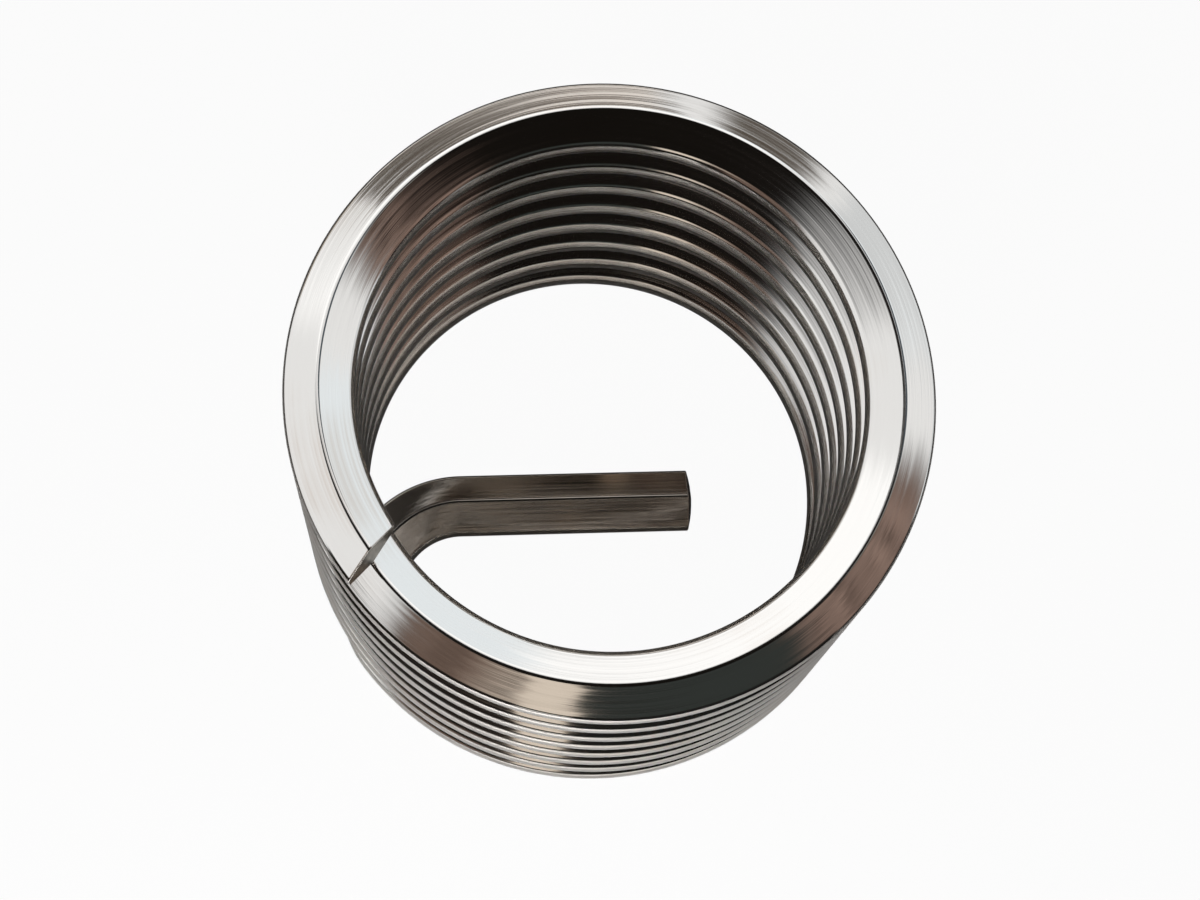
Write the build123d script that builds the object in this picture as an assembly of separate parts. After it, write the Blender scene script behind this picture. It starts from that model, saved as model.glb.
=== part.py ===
"""Helical thread insert: one length of profiled wire wound into a right-hand coil.

The wire has a six-sided section, with one 60 degree thread form outside and another inside. The
coil stands on its lower end, where the wire bends inwards and crosses the axis as the driving tang.
Its top end is a plain sheared cut. Millimetres, +Z up the coil's axis, origin on the axis at the
level that the insert stands on.
"""

from build123d import *
from build123d.topology import SkipClean
from math import asin, ceil, cos, degrees, hypot, pi, radians, sin, tan
import os

# thread form of the wire
THREAD_PITCH = 1.0  # pitch of the threads that the fitted insert fills and makes
WIDTH_SHARE = 0.875  # width of the wire, as a share of the thread pitch
FLANK_ANGLE = 60.0  # angle between the two flanks of either thread
INNER_SHARE = 0.5413  # height of the inner thread above the wire's middle, as a share of the pitch
OUTER_SHARE = 0.52  # the same for the outer thread

# relaxed coil
FREE_DIAMETER = 9.75  # over the outer crests
TURN_GAP = 0.08  # clear gap between neighbouring turns
TURNS = 8.0  # from the tang's bend to the cut end

# tang
BEND_RADIUS = 1.6  # at the wire's middle
TANG_REACH = 1.75  # how far the tang runs past the axis

# sizing of the outer crests
CREST_STOCK = 0.04  # height of wire that sizing takes off the outer crests
TOOL_MARGIN = 1.0  # how far the sizing tools run past the coil

wire_width = WIDTH_SHARE * THREAD_PITCH
inner_height = INNER_SHARE * THREAD_PITCH
outer_height = OUTER_SHARE * THREAD_PITCH
coil_pitch = wire_width + TURN_GAP
coil_radius = FREE_DIAMETER / 2 - outer_height
bend_angle = 180 + degrees(asin(BEND_RADIUS / (coil_radius - BEND_RADIUS)))  # around the axis
inward = Vector(-1, 0, 0)  # along the tang, from its tip towards the bend


def flat_width(height):
    """Width of the wire at a height above or below its middle."""
    return wire_width - 2 * height * tan(radians(FLANK_ANGLE / 2))


def rising_tangent():
    """Direction of the wire where the coil leaves the bend."""
    run = 2 * pi * coil_radius
    turn = radians(bend_angle)
    return Vector(-sin(turn) * run, cos(turn) * run, coil_pitch) / hypot(run, coil_pitch)


def bend_step():
    """Step across the bend: an arc that leaves the level tang and runs smoothly into the helix."""
    upwards = rising_tangent()
    turned = radians(inward.get_angle(upwards))
    across = (upwards - inward * inward.dot(upwards)).normalized()
    return (inward * sin(turned) + across * (1 - cos(turned))) * BEND_RADIUS


def wire_path():
    """Centre line of the wire, from the tang's tip through its bend and up the coil."""
    step = bend_step()
    start = Vector(coil_radius, 0, wire_width / 2 + step.Z).rotate(Axis.Z, bend_angle)
    root = start - step
    tang = Line(Vector(TANG_REACH, root.Y, root.Z), root)
    bend = TangentArc(root, start, tangent=inward)
    pieces = ceil(2 * TURNS)  # about half a turn each
    turns_each = TURNS / pieces
    piece = Edge.make_helix(coil_pitch, coil_pitch * turns_each, coil_radius)
    coil = [
        Pos(Z=start.Z + coil_pitch * turns_each * i) * Rot(Z=bend_angle + 360 * turns_each * i) * piece
        for i in range(pieces)
    ]
    return Wire([tang.edge(), bend.edge(), *[turn.edge() for turn in coil]])


def wire_section(path):
    """Six-sided section of the wire at the tang's tip, with its outer thread towards +Y."""
    crest = outer_height + CREST_STOCK
    corners = [
        (0, wire_width / 2),
        (crest, flat_width(crest) / 2),
        (crest, -flat_width(crest) / 2),
        (0, -wire_width / 2),
        (-inner_height, -flat_width(inner_height) / 2),
        (-inner_height, flat_width(inner_height) / 2),
    ]
    tip = Plane(origin=path @ 0, x_dir=(0, 1, 0), z_dir=-inward)
    return tip * make_face(Polyline(*corners, close=True))


def sizing_tools():
    """Ring around the coil, in arcs short enough that each band they cut stays on the crest."""
    arcs = ceil(coil_pitch / flat_width(outer_height))
    height = TURNS * coil_pitch + 2 * (wire_width + TOOL_MARGIN)
    place = Plane.XZ * Pos(FREE_DIAMETER / 2, -TOOL_MARGIN)
    profile = place * Rectangle(TOOL_MARGIN, height, align=(Align.MIN, Align.MIN))
    arc = revolve(profile, Axis.Z, 360 / arcs)
    return [(Rot(Z=360 / arcs * i) * arc).solid() for i in range(arcs)]


def thread_insert():
    """The wire swept along its path with its flanks kept level, and its outer crests sized."""
    path = wire_path()
    guide = path.translate((0, 0, wire_width))
    wire = sweep(wire_section(path), path=path, binormal=guide).solid()
    with SkipClean():  # the bands on the crests stay separate faces
        return wire.cut(*sizing_tools())


os.makedirs("parts", exist_ok=True)
export_step(thread_insert(), "parts/thread_insert.step")
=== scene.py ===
"""Helical thread insert: its drawn steel wire with eased edges and sheared ends, the light and the camera.

Lengths are in metres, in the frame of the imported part: Z runs up the coil's axis from the standing level.
"""

from math import asin, atan2, cos, pi, radians, sin, tan

import bpy
import numpy as np
from mathutils import Matrix, Vector


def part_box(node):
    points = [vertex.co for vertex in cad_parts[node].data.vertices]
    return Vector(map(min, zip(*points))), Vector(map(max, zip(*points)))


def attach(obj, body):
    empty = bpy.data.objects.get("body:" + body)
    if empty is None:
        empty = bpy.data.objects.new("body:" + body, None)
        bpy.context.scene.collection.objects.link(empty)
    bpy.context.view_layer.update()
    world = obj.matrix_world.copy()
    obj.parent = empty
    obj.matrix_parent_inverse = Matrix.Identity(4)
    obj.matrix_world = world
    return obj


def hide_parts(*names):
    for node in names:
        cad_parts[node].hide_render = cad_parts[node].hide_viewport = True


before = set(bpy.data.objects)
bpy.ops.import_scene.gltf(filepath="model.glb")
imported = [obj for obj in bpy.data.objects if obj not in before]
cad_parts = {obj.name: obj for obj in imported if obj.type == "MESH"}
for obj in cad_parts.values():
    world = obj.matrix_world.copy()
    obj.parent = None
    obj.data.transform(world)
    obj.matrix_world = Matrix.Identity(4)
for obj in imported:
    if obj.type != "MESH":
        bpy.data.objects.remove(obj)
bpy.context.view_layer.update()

MM = 0.001
NODE = "thread_insert"

# The wire's section and the coil, as the part has them
THREAD_PITCH = 1.0 * MM
WIDTH_SHARE = 0.875
FLANK_ANGLE = radians(60)
INNER_SHARE = 0.5413
OUTER_SHARE = 0.52
TURN_GAP = 0.08 * MM
TURNS = 8.0
BEND_RADIUS = 1.6 * MM
TANG_REACH = 1.75 * MM

# Edges of the drawn section, each rounded as the drawing die and the coiling leave it
SIDE_EDGE = 0.09 * MM
OUTER_EDGE = 0.12 * MM
INNER_EDGE = 0.20 * MM
END_EDGE = 0.03 * MM
TIP_CROWN = 0.07 * MM
CUT_CROWN = 0.008 * MM
CUT_SLANT = tan(radians(15.5))
CUT_SHORT = 0.11 * MM
CUT_REACH = 1.2 * MM

# The tang's darker, browner colour fades out between these lengths of wire from its tip
TINT_FULL = 3.6 * MM
TINT_NONE = 6.5 * MM

# Points of the grid that the wire's surface is worked out on
EDGE_POINTS = 7
STATIONS_A_TURN = 190
BEND_STATIONS = 72
TANG_STATIONS = 10
END_STATIONS = 5
CAP_RINGS = 4

# The view of the part
VIEW_AZIMUTH = radians(-14.6)
VIEW_ELEVATION = radians(75.8)
VIEW_ROLL = radians(12.8)
VIEW_DISTANCE = 42.6 * MM
LENS = 79.0

# The floor: half its side, and how much plain white the eye and the steel see in it. The rest is its paint
# as it is lit, with the insert's shadow.
FLOOR_HALF = 2.0
WHITE_FLOOR = 0.96
WHITE_IN_STEEL = 0.03

# The front lamp
LAMP_PLACE = Vector((-7, -22, 15)) * MM
LAMP_AIM = Vector((-5, -19, 0)) * MM
LAMP_WIDTH = 8 * MM
LAMP_WATTS = 0.005

# The cards: points along each side, and how many degrees wide and high a cloud is on an uneven one
CARD_POINTS = 33
CLOUD_WIDE = 7
CLOUD_HIGH = 14

low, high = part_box(NODE)
wire_width = WIDTH_SHARE * THREAD_PITCH
inner_height = INNER_SHARE * THREAD_PITCH
outer_height = OUTER_SHARE * THREAD_PITCH
coil_pitch = wire_width + TURN_GAP
coil_rise = coil_pitch / (2 * pi)
coil_radius = (high.x - low.x) / 2 - outer_height
bend_angle = pi + asin(BEND_RADIUS / (coil_radius - BEND_RADIUS))


# The wire's shape


def row(x, y, z):
    """Points or directions as rows, from their parts."""
    return np.stack(np.broadcast_arrays(x, y, z), -1).astype(float)


def unit(v):
    """Each row over its length."""
    return v / np.linalg.norm(v, axis=-1, keepdims=True)


def flat_width(height):
    """Width left between the two flanks at a height above the section's widest line."""
    return wire_width - 2 * height * tan(FLANK_ANGLE / 2)


def profile():
    """The wire's section: its (out, up) points, the way the surface faces there, and the girth up to each.

    Six sides, each turned a sixth of a circle from the last. At each corner the point is
    centre + r (cos a, sin a), where a sweeps from one side's direction to the next, and the centre lies
    r / cos(half the turn) inside the corner. The inner crest is almost a full round, the outer one less so,
    and the two side edges are only eased.
    """
    turn = pi / 3
    outer, inner = flat_width(outer_height) / 2, flat_width(inner_height) / 2
    corner = np.array([
        (outer_height, outer), (0, wire_width / 2), (-inner_height, inner),
        (-inner_height, -inner), (0, -wire_width / 2), (outer_height, -outer),
    ])
    r = np.array([OUTER_EDGE, SIDE_EDGE, INNER_EDGE, INNER_EDGE, SIDE_EDGE, OUTER_EDGE])[:, None]
    k = np.arange(6)[:, None]
    middle = turn * (k + 0.5)
    centre = corner - r / cos(turn / 2) * np.hstack([np.cos(middle), np.sin(middle)])
    angle = turn * (k + np.linspace(0, 1, EDGE_POINTS))
    facing = np.stack([np.cos(angle), np.sin(angle)], -1)
    points = (centre[:, None] + r[..., None] * facing).reshape(-1, 2)
    steps = np.linalg.norm(np.roll(points, -1, 0) - points, axis=1)
    return points, facing.reshape(-1, 2), np.append(0, np.cumsum(steps))


def helix(turns):
    """Centre line of the coil and its direction of travel: (R cos a, R sin a, start + pitch * turns)."""
    step, _ = bend_step()
    a = bend_angle + 2 * pi * turns
    z = wire_width / 2 + step[2] + coil_pitch * turns
    along = unit(row(-coil_radius * np.sin(a), coil_radius * np.cos(a), coil_rise))
    return row(coil_radius * np.cos(a), coil_radius * np.sin(a), z), along


def bend_step():
    """From the tang's root to the coil's start: r (inward sin b + across (1 - cos b)), b the angle turned.

    Inward is the way that the wire runs along the tang, and across is square to it, on the side to which the
    coil sets off.
    """
    along = unit(row(-coil_radius * sin(bend_angle), coil_radius * cos(bend_angle), coil_rise))
    inward = np.array([-1.0, 0, 0])
    across = unit(along - (along @ inward) * inward)
    turned = atan2(along @ across, along @ inward)
    step = (inward * sin(turned) + across * (1 - cos(turned))) * BEND_RADIUS
    return step, (inward, across, turned)


def bend(share):
    """Centre line of the bend and its direction: root + r (inward sin b + across (1 - cos b)).

    The angle b is a share of the whole angle turned.
    """
    step, (inward, across, turned) = bend_step()
    start, _ = helix(0.0)
    b = (turned * share)[:, None]
    place = start - step + BEND_RADIUS * (inward * np.sin(b) + across * (1 - np.cos(b)))
    return place, inward * np.cos(b) + across * np.sin(b)


def centre_line():
    """Stations along the wire, from the tang's tip to the cut: places, directions of travel, length so far.

    The tang is straight, the bend and the coil follow, and the length is the sum of the steps.
    """
    bent, bent_along = bend(np.linspace(0, 1, BEND_STATIONS + 1))
    root = bent[0]
    tang = row(np.linspace(TANG_REACH, root[0], TANG_STATIONS, endpoint=False), root[1], root[2])
    coil, coil_along = helix(np.linspace(0, TURNS, round(TURNS * STATIONS_A_TURN) + 1)[1:])
    place = np.vstack([tang, bent, coil])
    along = np.vstack([np.tile(bent_along[0], (TANG_STATIONS, 1)), bent_along, coil_along])
    run = np.append(0, np.cumsum(np.linalg.norm(np.diff(place, axis=0), axis=1)))
    return place, along, run


def wire_sections():
    """Place, direction, length, inset and lean of the section at each station.

    Each end is eased by a quarter round: back by r (1 - sin t), in by r (1 - cos t), leaning by t.
    """
    place, along, run = centre_line()
    t = np.linspace(pi / 2, 0, END_STATIONS)
    back, inset = END_EDGE * (1 - np.sin(t)), END_EDGE * (1 - np.cos(t))
    keep = (run > 2 * END_EDGE) & (run < run[-1] - 2 * END_EDGE)
    first, last = place[:1] + along[:1] * back[:, None], place[-1:] - along[-1:] * back[::-1, None]
    lean = np.hstack([t, np.zeros(keep.sum()), -t[::-1]])
    return (
        np.vstack([first, place[keep], last]),
        np.vstack([np.repeat(along[:1], len(t), 0), along[keep], np.repeat(along[-1:], len(t), 0)]),
        np.hstack([back, run[keep], run[-1] - back[::-1]]),
        np.hstack([inset, np.zeros(keep.sum()), inset[::-1]]),
        lean,
    )


def insert_mesh():
    """The wire: its section carried along the centre line, with the widest line level.

    Point = place + out * x + up * y, where out is level and square to the wire, up is square to both, and
    (x, y) is the section's point less the inset along the way that it faces. Near the cut it also moves
    along the wire by slant * x less a little. Both ends close on a low crown.
    """
    points, facing, girth = profile()
    place, along, run, inset, lean = wire_sections()
    out = unit(np.cross(along, row(0, 0, 1)))
    up = np.cross(out, along)
    flat = points - inset[:, None, None] * facing
    shell = place[:, None] + out[:, None] * flat[..., :1] + up[:, None] * flat[..., 1:]
    near_cut = np.clip(1 - (run[-1] - run) / CUT_REACH, 0, 1)[:, None, None] ** 2
    shell += along[:, None] * near_cut * (CUT_SLANT * flat[..., :1] - CUT_SHORT)
    face = out[:, None] * facing[:, :1] + up[:, None] * facing[:, 1:]
    face = face * np.cos(lean)[:, None, None] - along[:, None] * np.sin(lean)[:, None, None]
    stations, girths = shell.shape[:2]

    def cap(station, forward, crown):
        """Rings that shrink to a pole, and how they face: middle + spoke * s + crown * (1 - s squared)."""
        share = np.linspace(1, 0, CAP_RINGS + 1)[:, None, None]
        spoke = shell[station] - shell[station].mean(0)
        lift = unit(forward) * crown * (1 - share**2)
        slope = 2 * crown * share * spoke / (spoke**2).sum(-1, keepdims=True)
        return (shell[station].mean(0) + spoke * share + lift)[1:], unit(unit(forward) + slope)

    tip, tip_face = cap(0, -along[0], TIP_CROWN)
    cut, cut_face = cap(-1, along[-1] - CUT_SLANT * out[-1], CUT_CROWN)
    vertices = np.vstack([
        shell.reshape(-1, 3), tip[:-1].reshape(-1, 3), tip[-1, :1], cut[:-1].reshape(-1, 3), cut[-1, :1]])
    side = np.arange(stations * girths).reshape(stations, girths)
    tip_at = stations * girths
    cut_at = tip_at + (CAP_RINGS - 1) * girths + 1
    tip_rings = np.vstack([side[:1], tip_at + np.arange((CAP_RINGS - 1) * girths).reshape(-1, girths)])
    cut_rings = np.vstack([side[-1:], cut_at + np.arange((CAP_RINGS - 1) * girths).reshape(-1, girths)])

    def quads(grid):
        """Four-cornered faces between each row of a grid and the next, round its closed way."""
        a, b = grid[:-1], grid[1:]
        return np.stack([a, b, np.roll(b, -1, 1), np.roll(a, -1, 1)], -1).reshape(-1, 4)

    wall = quads(side)
    ends = np.vstack([quads(tip_rings)[:, ::-1], quads(cut_rings)])
    tip_fan = np.stack([tip_rings[-1], np.roll(tip_rings[-1], -1), np.full(girths, cut_at - 1)], -1)
    cut_fan = np.stack([np.roll(cut_rings[-1], -1), cut_rings[-1], np.full(girths, len(vertices) - 1)], -1)
    face = np.vstack([
        face.reshape(-1, 3), tip_face[1:-1].reshape(-1, 3), tip_face[-1, :1],
        cut_face[1:-1].reshape(-1, 3), cut_face[-1, :1]])
    end_face = face.copy()
    end_face[side[0]], end_face[side[-1]] = tip_face[0], cut_face[0]
    return vertices, (wall, ends, np.vstack([tip_fan, cut_fan])), (face, end_face), run, girth


def build_insert():
    """The insert's mesh, with its surface directions and a map of metres along the wire and round it."""
    vertices, (wall, ends, fans), (face, end_face), run, girth = insert_mesh()
    stations, girths = len(run), len(girth) - 1
    mesh = bpy.data.meshes.new("insert_wire")
    mesh.from_pydata(vertices, [], wall.tolist() + ends.tolist() + fans.tolist())
    mesh.update()
    mesh.shade_smooth()
    sheared = np.arange(len(mesh.polygons)) >= len(wall)
    mesh.polygons.foreach_set("material_index", sheared.astype(np.int32))

    corners = np.hstack([wall.ravel(), ends.ravel(), fans.ravel()])
    wall_corners = wall.size
    normals = np.vstack([face[corners[:wall_corners]], end_face[corners[wall_corners:]]])
    mesh.normals_split_custom_set(normals)

    caps = len(vertices) - stations * girths
    u = np.append(np.repeat(run, girths), np.full(caps, run[-1]))
    v = np.append(np.tile(girth[:-1], stations), np.zeros(caps))
    place = np.stack([u[corners], v[corners]], -1)
    seam = np.zeros(len(corners), bool)
    seam[:wall_corners].reshape(-1, 4)[girths - 1::girths, 2:] = True
    place[seam, 1] = girth[-1]
    mesh.uv_layers.new(name="along_and_round").uv.foreach_set("vector", place.ravel())
    piece = bpy.data.objects.new("insert_wire", mesh)
    bpy.context.scene.collection.objects.link(piece)
    return piece


# Finishes


class Value:
    """An output in a material's tree. Sums, products and the like on it add the Math nodes for them."""

    def __init__(self, tree, socket=None):
        self.tree = tree
        self.socket = socket

    def node(self, kind, settings=None, sockets=None, output=0):
        """Adds a node: its kind, then its settings, then numbers, colours or links for its sockets."""
        made = self.tree.nodes.new(kind)
        for name, setting in (settings or {}).items():
            setattr(made, name, setting)
        for name, value in (sockets or {}).items():
            if isinstance(value, Value):
                self.tree.links.new(value.socket, made.inputs[name])
            else:
                made.inputs[name].default_value = value
        return Value(self.tree, made.outputs[output] if made.outputs else None)

    def maths(self, operation, *values):
        """A Math node of this operation on these values."""
        return self.node("ShaderNodeMath", {"operation": operation}, dict(enumerate(values)))

    def __add__(self, other):
        return self.maths("ADD", self, other)

    def __radd__(self, other):
        return self.maths("ADD", other, self)

    def __sub__(self, other):
        return self.maths("SUBTRACT", self, other)

    def __rsub__(self, other):
        return self.maths("SUBTRACT", other, self)

    def __mul__(self, other):
        return self.maths("MULTIPLY", self, other)

    def __rmul__(self, other):
        return self.maths("MULTIPLY", other, self)

    def lesser(self, other):
        """The smaller of this and the other."""
        return self.maths("MINIMUM", self, other)

    def greater(self, other):
        """The larger of this and the other."""
        return self.maths("MAXIMUM", self, other)

    def between(self, low, high):
        """0 below low, 1 above high, and a smooth ramp between them."""
        limits = {"Value": self, "From Min": low, "From Max": high}
        return self.node("ShaderNodeMapRange", {"interpolation_type": "SMOOTHSTEP"}, limits)

    def blend(self, first, second):
        """A colour: first where this is 0, second where it is 1."""
        return self.node("ShaderNodeMix", {"data_type": "RGBA"}, {0: self, 6: first, 7: second}, output=2)

    def stretched(self, x, y, z):
        """These coordinates, each times its own number."""
        return self.node("ShaderNodeVectorMath", {"operation": "MULTIPLY"}, {0: self, 1: (x, y, z)})

    def noise(self, detail=2.0, roughness=0.5):
        """Cloudy noise over these coordinates, in the range 0 to 1."""
        return self.node("ShaderNodeTexNoise", {}, {
            "Vector": self, "Scale": 1.0, "Detail": detail, "Roughness": roughness})


def new_material(name):
    """An empty node material, and the place that its nodes start from."""
    material = bpy.data.materials.new(name)
    material.use_nodes = True
    material.node_tree.nodes.clear()
    return material, Value(material.node_tree)


def drawn_steel():
    """Bright drawn stainless wire, with fine lines along it, a faint warm film in clouds and a tang coloured
    darker and browner.

    Broader lines vary the gloss. The fine ones and the patches tilt the surface a little along and round it.
    """
    material, tree = new_material("drawn_steel")
    wire = tree.node("ShaderNodeUVMap", {"uv_map": "along_and_round"})
    place = tree.node("ShaderNodeTexCoord", output="Object")
    hair = wire.stretched(220, 60000, 1).noise(3, 0.6)
    line = wire.stretched(90, 18000, 1).noise(2, 0.5)
    patch = wire.stretched(260, 9000, 1).noise(3, 0.6)
    cloud = place.stretched(380, 380, 380).noise(3, 0.55)
    film = cloud.between(0.45, 0.75) * line.between(0.3, 0.7)
    colour = film.blend((0.80, 0.768, 0.730, 1), (0.68, 0.61, 0.55, 1))
    run = tree.node("ShaderNodeSeparateXYZ", {}, {0: wire}, "X")
    # The base colour turns darker and browner towards the tang's tip, in patches.
    tang_darkening = (1 - run.between(TINT_FULL, TINT_NONE)) * (0.75 + 0.25 * patch)
    colour = tang_darkening.blend(colour, (0.50, 0.435, 0.37, 1))
    gloss = 0.06 + 0.06 * line.between(0.35, 0.7) + 0.04 * hair
    along = 0.5 + 0.05 * (patch - 0.5) + 0.025 * (hair - 0.5)
    round_it = 0.5 + 0.07 * (hair - 0.5) + 0.04 * (line - 0.5)
    tilt = tree.node("ShaderNodeCombineColor", {}, {0: along, 1: round_it, 2: 1.0})
    drawn = tree.node("ShaderNodeNormalMap", {"uv_map": "along_and_round"}, {"Color": tilt})
    steel = tree.node("ShaderNodeBsdfPrincipled", {}, {
        "Base Color": colour, "Metallic": 1.0, "Roughness": gloss, "Anisotropic": 0.45, "Normal": drawn})
    tree.node("ShaderNodeOutputMaterial", {}, {"Surface": steel})
    return material


def sheared_steel():
    """The wire's ends, sheared through: dull, with torn ridges across."""
    material, tree = new_material("sheared_steel")
    place = tree.node("ShaderNodeTexCoord", output="Object")
    torn = place.stretched(9000, 9000, 3000).noise(4, 0.65)
    colour = torn.between(0.35, 0.7).blend((0.17, 0.145, 0.115, 1), (0.40, 0.36, 0.31, 1))
    bump = tree.node("ShaderNodeBump", {}, {"Strength": 0.7, "Distance": 1e-5, "Height": torn})
    steel = tree.node("ShaderNodeBsdfPrincipled", {}, {
        "Base Color": colour, "Metallic": 1.0, "Roughness": 0.32 + 0.2 * torn, "Normal": bump})
    tree.node("ShaderNodeOutputMaterial", {}, {"Surface": steel})
    return material


def floor_white():
    """A floor that is white to the eye and through glass, with a trace of the shadow.

    In the steel it is its paint as the lamp lights it, with only a small share of that white.
    """
    material, tree = new_material("floor_white")
    eye = tree.node("ShaderNodeLightPath", output="Is Camera Ray")
    steel = tree.node("ShaderNodeLightPath", output="Is Glossy Ray")
    glass = tree.node("ShaderNodeLightPath", output="Is Transmission Ray")
    seen = (WHITE_FLOOR * eye.greater(glass)).greater(WHITE_IN_STEEL * steel)
    paint = tree.node("ShaderNodeBsdfDiffuse", {}, {"Color": (0.8, 0.79, 0.78, 1)})
    white = tree.node("ShaderNodeEmission", {}, {"Color": (1, 1, 1, 1), "Strength": 1.0})
    both = tree.node("ShaderNodeMixShader", {}, {0: seen, 1: paint, 2: white})
    tree.node("ShaderNodeOutputMaterial", {}, {"Surface": both})
    return material


def card_light(name, colour, strength, spans, soft, uneven):
    """A card's glow, even or in soft clouds, that fades to nothing over the last degrees at its rim.

    It is clear to light that has already come off the floor's paint, so it shows in the steel and lights
    nothing else.
    """
    material, tree = new_material(name)
    spread = tree.node("ShaderNodeUVMap", {"uv_map": "card"})
    across = tree.node("ShaderNodeSeparateXYZ", {}, {0: spread}, "X")
    up = tree.node("ShaderNodeSeparateXYZ", {}, {0: spread}, "Y")
    inside_across = across.lesser(1 - across).between(0, soft / spans[0])
    inside_up = up.lesser(1 - up).between(0, soft / spans[1])
    spent = tree.node("ShaderNodeLightPath", output="Diffuse Depth").between(0, 1)
    shown = inside_across * inside_up * (1 - spent)
    shade = (*colour, 1)
    if uneven:
        cloud = spread.stretched(spans[0] / CLOUD_WIDE, spans[1] / CLOUD_HIGH, 1).noise(2, 0.6)
        dull, bright = ((*(part * (1 + half * uneven) for part in colour), 1) for half in (-0.5, 0.5))
        shade = cloud.between(0.25, 0.75).blend(dull, bright)
    glow = tree.node("ShaderNodeEmission", {}, {"Color": shade, "Strength": strength})
    clear = tree.node("ShaderNodeBsdfTransparent")
    both = tree.node("ShaderNodeMixShader", {}, {0: shown, 1: clear, 2: glow})
    tree.node("ShaderNodeOutputMaterial", {}, {"Surface": both})
    return material


# The studio


def card(name, azimuths, elevations, distance, colour, strength, soft=6, uneven=0.0):
    """A card curved round the part: distance * (cos e cos a, cos e sin a, sin e).

    The azimuth a and the elevation e, in degrees, each run from the first to the second of their limits.
    """
    s = np.linspace(0, 1, CARD_POINTS)
    a, e = np.meshgrid(np.radians(azimuths[0] + s * (azimuths[1] - azimuths[0])),
                       np.radians(elevations[0] + s * (elevations[1] - elevations[0])))
    points = distance * row(np.cos(e) * np.cos(a), np.cos(e) * np.sin(a), np.sin(e))
    at = np.arange(CARD_POINTS**2).reshape(CARD_POINTS, CARD_POINTS)
    faces = np.stack([at[:-1, :-1], at[1:, :-1], at[1:, 1:], at[:-1, 1:]], -1).reshape(-1, 4)
    mesh = bpy.data.meshes.new(name)
    mesh.from_pydata(points.reshape(-1, 3), [], faces.tolist())
    spread = np.stack(np.meshgrid(s, s), -1).reshape(-1, 2)
    mesh.uv_layers.new(name="card").uv.foreach_set("vector", spread[faces.ravel()].ravel())
    spans = azimuths[1] - azimuths[0], elevations[1] - elevations[0]
    mesh.materials.append(card_light(name, colour, strength, spans, soft, uneven))
    made = bpy.data.objects.new(name, mesh)
    made.visible_camera = False
    made.visible_shadow = False
    made.visible_diffuse = False
    bpy.context.scene.collection.objects.link(made)


def floor():
    """The plain floor, well wider than any view of the part."""
    mesh = bpy.data.meshes.new("floor")
    corners = [(x * FLOOR_HALF, y * FLOOR_HALF, 0) for x, y in ((-1, -1), (1, -1), (1, 1), (-1, 1))]
    mesh.from_pydata(corners, [], [(0, 1, 2, 3)])
    mesh.materials.append(floor_white())
    made = bpy.data.objects.new("floor", mesh)
    bpy.context.scene.collection.objects.link(made)


def room():
    """A room that is white to the eye and through glass, and dim and warm in the steel and in its light."""
    world = bpy.data.worlds.new("room")
    bpy.context.scene.world = world
    world.use_nodes = True
    world.node_tree.nodes.clear()
    tree = Value(world.node_tree)
    eye = tree.node("ShaderNodeLightPath", output="Is Camera Ray")
    glass = tree.node("ShaderNodeLightPath", output="Is Transmission Ray")
    colour = eye.greater(glass).blend((0.007, 0.006, 0.005, 1), (0.965, 0.965, 0.965, 1))
    back = tree.node("ShaderNodeBackground", {}, {"Color": colour, "Strength": 1.0})
    tree.node("ShaderNodeOutputWorld", {}, {"Surface": back})


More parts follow.
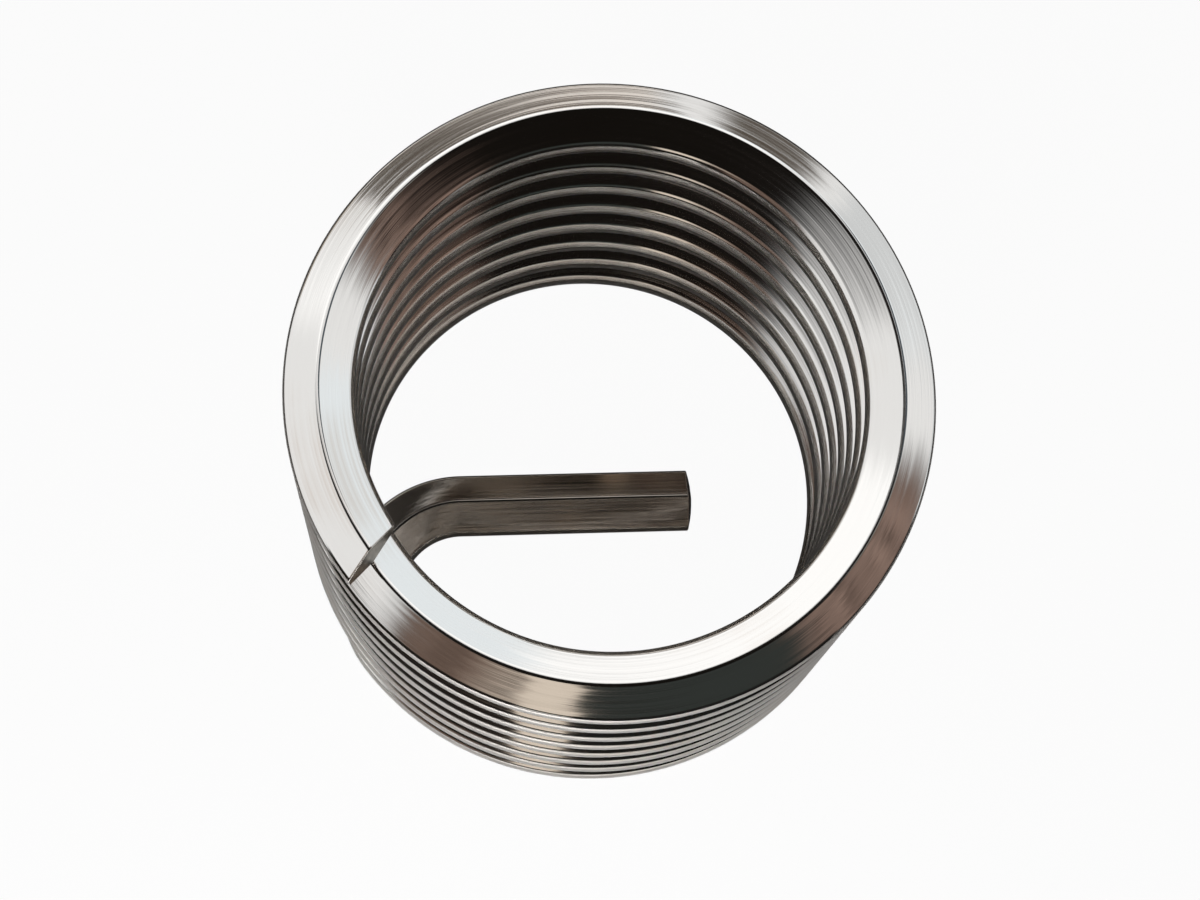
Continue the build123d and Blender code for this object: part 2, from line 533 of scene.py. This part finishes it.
def studio():
    """White cards at the back and both sides, brown, grey and tan ones beside the dim front, none overhead.

    Bright strips stand along the horizon, with dim ones between them. Two small black ones hang close to the
    lower turns and below what the top turn sees.
    """
    white, cool, warm = (0.95, 0.975, 1), (0.91, 0.96, 1), (1, 0.96, 0.92)
    card("card_round", (-8, 186), (-4, 58), 0.139, white, 1.0, 12)
    card("card_left", (140, 222), (-8, 58), 0.146, white, 1.0, 18)
    card("card_back", (50, 152), (18, 66), 0.12, white, 1.3, 9)
    card("card_back_high", (36, 132), (48, 78), 0.14, white, 1.0, 9)
    card("card_cool_right", (14, 80), (17, 42), 0.116, (0.86, 0.94, 1), 1.08, 8)
    card("card_right_low", (-14, 48), (-4, 22), 0.13, cool, 0.8, 5)
    card("card_low_back", (74, 124), (-4, 20), 0.125, warm, 0.95, 4)
    card("card_dim_right_high", (4, 50), (39, 72), 0.115, (0.08, 0.10, 0.12), 1.0, 8)
    card("card_horizon_front", (196, 324), (-6, 11), 0.145, (0.42, 0.44, 0.44), 1.0, 6)
    card("card_horizon_bright", (238, 304), (-6, 12), 0.142, (1, 0.98, 0.94), 1.0, 7)
    card("card_dim_back", (72, 126), (11, 21), 0.115, (0.10, 0.085, 0.07), 1.0, 3)
    card("card_dim_front", (254, 326), (22, 46), 0.15, (0.036, 0.042, 0.04), 1.0, 8)
    card("card_low_dim_right", (48, 70), (-4, 19), 0.11, (0.10, 0.085, 0.07), 1.0, 6)
    card("card_low_dim_left", (122, 148), (-4, 20), 0.11, (0.40, 0.36, 0.31), 1.0, 5)
    card("card_brown_right", (-50, 2), (6, 50), 0.14, (0.22, 0.155, 0.13), 1.0, 12, 1.2)
    card("card_grey_right", (-26, 6), (48, 64), 0.145, (0.40, 0.38, 0.36), 1.0, 8)
    card("card_brown_left", (210, 244), (8, 50), 0.14, (0.15, 0.105, 0.085), 1.0, 6, 1.0)
    card("card_tan_left", (230, 262), (26, 46), 0.137, (0.62, 0.53, 0.45), 1.0, 12)
    card("card_tan", (245, 262), (26, 46), 0.135, (0.80, 0.71, 0.61), 1.0, 3)
    card("card_near_left", (200, 250), (24, 49), 0.014, (0.016, 0.013, 0.011), 1.0, 2)
    card("card_near_right", (259, 318), (24, 49), 0.014, (0.012, 0.012, 0.011), 1.0, 2)


def front_lamp():
    """A soft lamp at the front that fills the floor's light and is kept out of the steel."""
    data = bpy.data.lights.new("front_lamp", "AREA")
    data.shape = "DISK"
    data.size = LAMP_WIDTH
    data.energy = LAMP_WATTS
    made = bpy.data.objects.new("front_lamp", data)
    turn = (LAMP_PLACE - LAMP_AIM).to_track_quat("Z", "Y").to_matrix()
    made.matrix_world = Matrix.Translation(LAMP_PLACE) @ turn.to_4x4()
    made.visible_camera = False
    made.visible_glossy = False
    bpy.context.scene.collection.objects.link(made)


def camera():
    """Looks at the middle of the part's box, from its azimuth, elevation and distance, and is rolled."""
    data = bpy.data.cameras.new("camera")
    data.lens = LENS
    data.clip_start = 1 * MM
    data.clip_end = 10.0
    made = bpy.data.objects.new("camera", data)
    level = cos(VIEW_ELEVATION)
    back = Vector((sin(VIEW_AZIMUTH) * level, -cos(VIEW_AZIMUTH) * level, sin(VIEW_ELEVATION)))
    turn = (-back).to_track_quat("-Z", "Y").to_matrix() @ Matrix.Rotation(VIEW_ROLL, 3, "Z")
    made.matrix_world = Matrix.Translation((low + high) / 2 + back * VIEW_DISTANCE) @ turn.to_4x4()
    bpy.context.scene.collection.objects.link(made)
    bpy.context.scene.camera = made


camera()
insert = build_insert()
insert.data.materials.append(drawn_steel())
insert.data.materials.append(sheared_steel())
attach(insert, "root")
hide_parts(NODE)
floor()
room()
studio()
front_lamp()
bpy.context.scene.view_settings.view_transform = "Standard"
